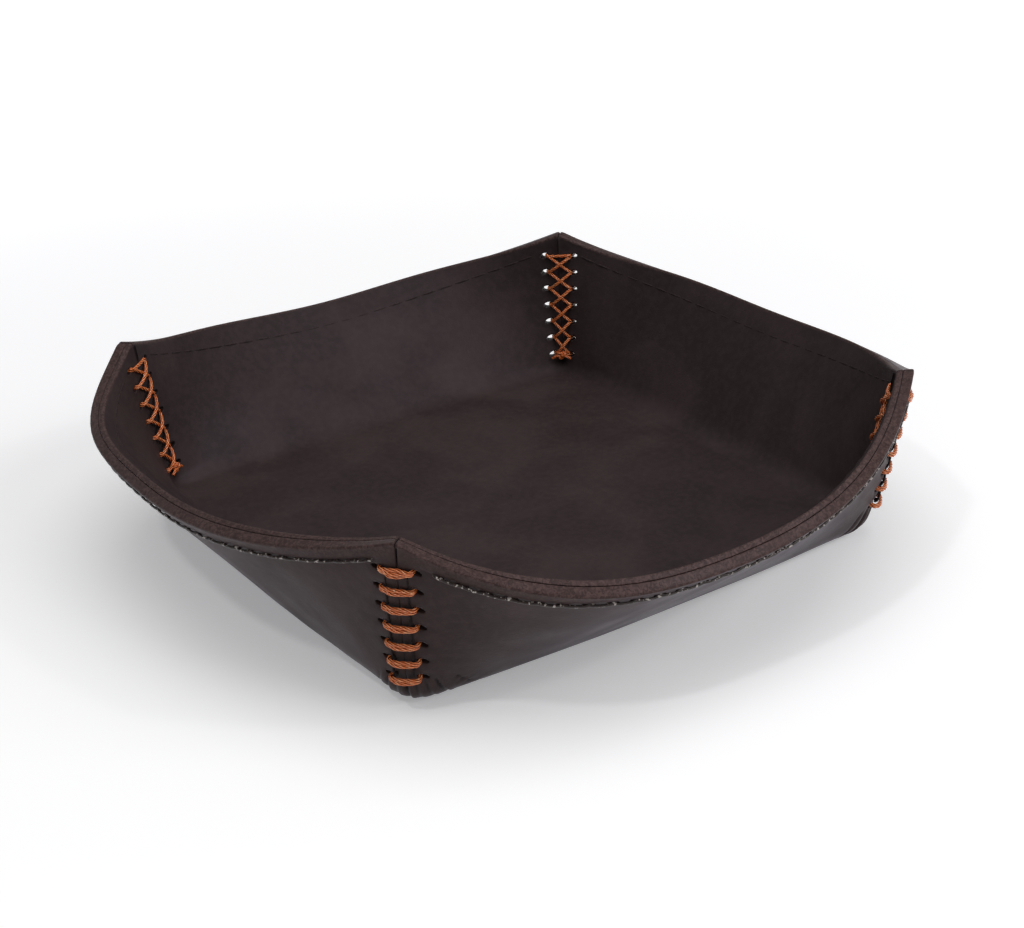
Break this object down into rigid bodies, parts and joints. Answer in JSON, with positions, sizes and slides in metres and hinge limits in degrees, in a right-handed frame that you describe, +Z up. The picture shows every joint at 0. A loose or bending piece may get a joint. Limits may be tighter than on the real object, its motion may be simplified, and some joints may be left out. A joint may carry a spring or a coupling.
{
  "type": "valet tray",
  "caption": "Dark-brown leather valet tray: a flat floor and four flared walls in two glued plies, laced with orange waxed thread at the corners.",
  "frame": {"origin": "middle of the overall box, on the surface that the tray stands on", "axes": "+X along the long (7 in) side, +Y along the short (6 in) side, +Z up; the corner between +X and -Y is the one nearest the camera in the picture"},
  "size_m": [0.1778, 0.1524, 0.0381],
  "materials": {
    "outer_leather": "matte smooth dark brown",
    "lining_leather": "matte smooth dark brown",
    "lace_thread": "waxed, twisted, orange tan",
    "seam_thread": "bonded machine thread, dark brown"
  },
  "bodies": {
    "root": {"outer_leather": "outer_leather", "lining_leather": "lining_leather", "lace_right_back": "lace_thread", "lace_back_left": "lace_thread", "lace_left_front": "lace_thread", "lace_front_right": "lace_thread", "needle_seam_right": "seam_thread", "needle_seam_back": "seam_thread", "needle_seam_left": "seam_thread", "needle_seam_front": "seam_thread", "bobbin_seam_right": "seam_thread", "bobbin_seam_back": "seam_thread", "bobbin_seam_left": "seam_thread", "bobbin_seam_front": "seam_thread", "edge_seam_right_to_back": "seam_thread", "edge_seam_back_to_right": "seam_thread", "edge_seam_back_to_left": "seam_thread", "edge_seam_left_to_back": "seam_thread", "edge_seam_left_to_front": "seam_thread", "edge_seam_front_to_left": "seam_thread", "edge_seam_front_to_right": "seam_thread", "edge_seam_right_to_front": "seam_thread"}
  },
  "joints": []
}
